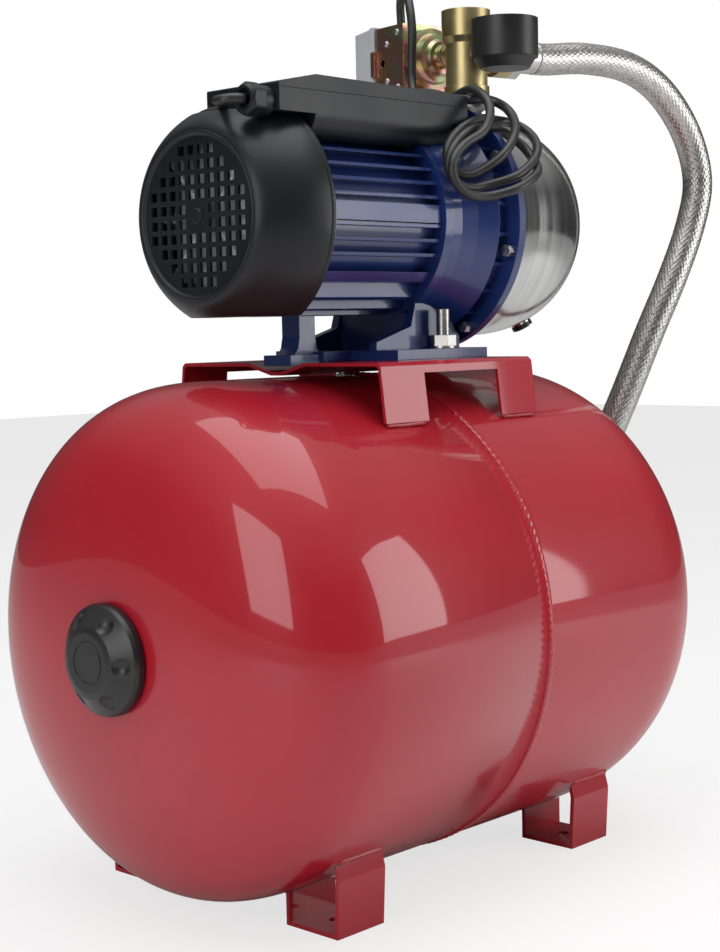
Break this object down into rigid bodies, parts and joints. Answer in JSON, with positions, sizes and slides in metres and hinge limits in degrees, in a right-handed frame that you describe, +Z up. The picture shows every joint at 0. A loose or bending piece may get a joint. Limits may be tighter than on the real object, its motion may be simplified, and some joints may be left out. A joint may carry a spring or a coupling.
{
  "type": "centrifugal water pump set",
  "caption": "Self-priming centrifugal jet pump on a horizontal red pressure tank, with brass manifold, pressure switch, gauge and braided hose.",
  "frame": {"origin": "centre of the four foot bolts, on the floor", "axes": "+X along tank and pump towards the suction end, +Z up, camera side is -Y"},
  "size_m": [0.6651, 0.362, 0.6783],
  "materials": {
    "red_paint": "gloss",
    "blue_paint": "gloss",
    "black_plastic": "satin",
    "grey_plastic": "satin",
    "white_plastic": "gloss",
    "stainless": "polished",
    "zinc_steel": "satin",
    "steel": "machined",
    "yellow_zinc": "passivated",
    "cast_aluminium": "as cast",
    "brass": "dull cast",
    "valve_brass": "machined",
    "copper": "enamelled",
    "rubber": "matte",
    "cable_rubber": "satin",
    "braid": "woven",
    "ceramic": "polished",
    "lens": "clear"
  },
  "bodies": {
    "pump_set": {"tank_shell_left": "red_paint", "tank_shell_right": "red_paint", "girth_weld": "red_paint", "air_valve": "valve_brass", "membrane": "rubber", "tank_flange": "zinc_steel", "flange_bolts": "zinc_steel", "foot_near_left": "red_paint", "foot_near_right": "red_paint", "foot_far_left": "red_paint", "foot_far_right": "red_paint", "pump_saddle": "red_paint", "pump_bracket": "blue_paint", "saddle_bolts": "zinc_steel", "motor_frame": "blue_paint", "stator_core": "steel", "stator_windings": "copper", "rear_end_shield": "cast_aluminium", "wave_spring": "steel", "bearing_outer_rings": "steel", "bearing_balls": "steel", "fan_cover": "black_plastic", "terminal_box": "black_plastic", "terminal_lid": "black_plastic", "capacitor": "white_plastic", "terminal_block": "white_plastic", "cable_gland": "black_plastic", "gland_nut": "black_plastic", "pump_casing": "stainless", "casing_bolts": "zinc_steel", "casing_seal": "rubber", "seal_plate": "stainless", "seal_seat": "ceramic", "diffuser": "black_plastic", "ejector": "black_plastic", "drain_plug": "black_plastic", "discharge_nipple": "copper", "brass_manifold": "brass", "gauge_case": "black_plastic", "gauge_dial": "white_plastic", "gauge_lens": "lens", "diaphragm_cap": "yellow_zinc", "switch_base": "yellow_zinc", "switch_cover": "grey_plastic", "braided_hose": "braid", "hose_ends": "zinc_steel", "tank_elbow": "valve_brass", "motor_lead": "cable_rubber", "lead_coil": "cable_rubber"},
    "rotor": {"motor_shaft": "steel", "rotor_core": "steel", "bearing_inner_rings": "steel", "cooling_fan": "grey_plastic", "seal_head": "rubber", "impeller": "valve_brass"},
    "cap": {"air_cap": "black_plastic"},
    "pin": {"valve_pin": "steel"},
    "pointer": {"gauge_pointer": "black_plastic"},
    "plunger": {"switch_plunger": "steel"},
    "lever": {"switch_lever": "yellow_zinc"}
  },
  "joints": [
    {"name": "rotor_spin", "type": "hinge", "parent": "pump_set", "child": "rotor", "pos_m": [0, 0, 0.4817], "axis": [1, 0, 0], "continuous": true},
    {"name": "cap_pull", "type": "slide", "parent": "pump_set", "child": "cap", "axis": [-1, 0, 0], "range_m": [0, 0.04]},
    {"name": "valve_press", "type": "slide", "parent": "pump_set", "child": "pin", "axis": [1, 0, 0], "range_m": [0, 0.0022], "stiffness_N_per_m": 400, "springref_m": -0.002},
    {"name": "pointer_sweep", "type": "hinge", "parent": "pump_set", "child": "pointer", "pos_m": [0.12801, -0.0453, 0.632], "axis": [0, 0, -1], "range_deg": [0, 270]},
    {"name": "plunger_slide", "type": "slide", "parent": "pump_set", "child": "plunger", "axis": [0.1736, 0.9848, 0], "range_m": [0, 0.0015], "stiffness_N_per_m": 2000, "springref_m": -0.001},
    {"name": "lever_tilt", "type": "hinge", "parent": "pump_set", "child": "lever", "pos_m": [0.14645, 0.05929, 0.597], "axis": [0.9848, -0.1736, 0], "range_deg": [-4, 0]}
  ],
  "couplings": [
    {"joint": "lever_tilt", "follows": "plunger_slide", "rad_per_m": -43.5}
  ]
}
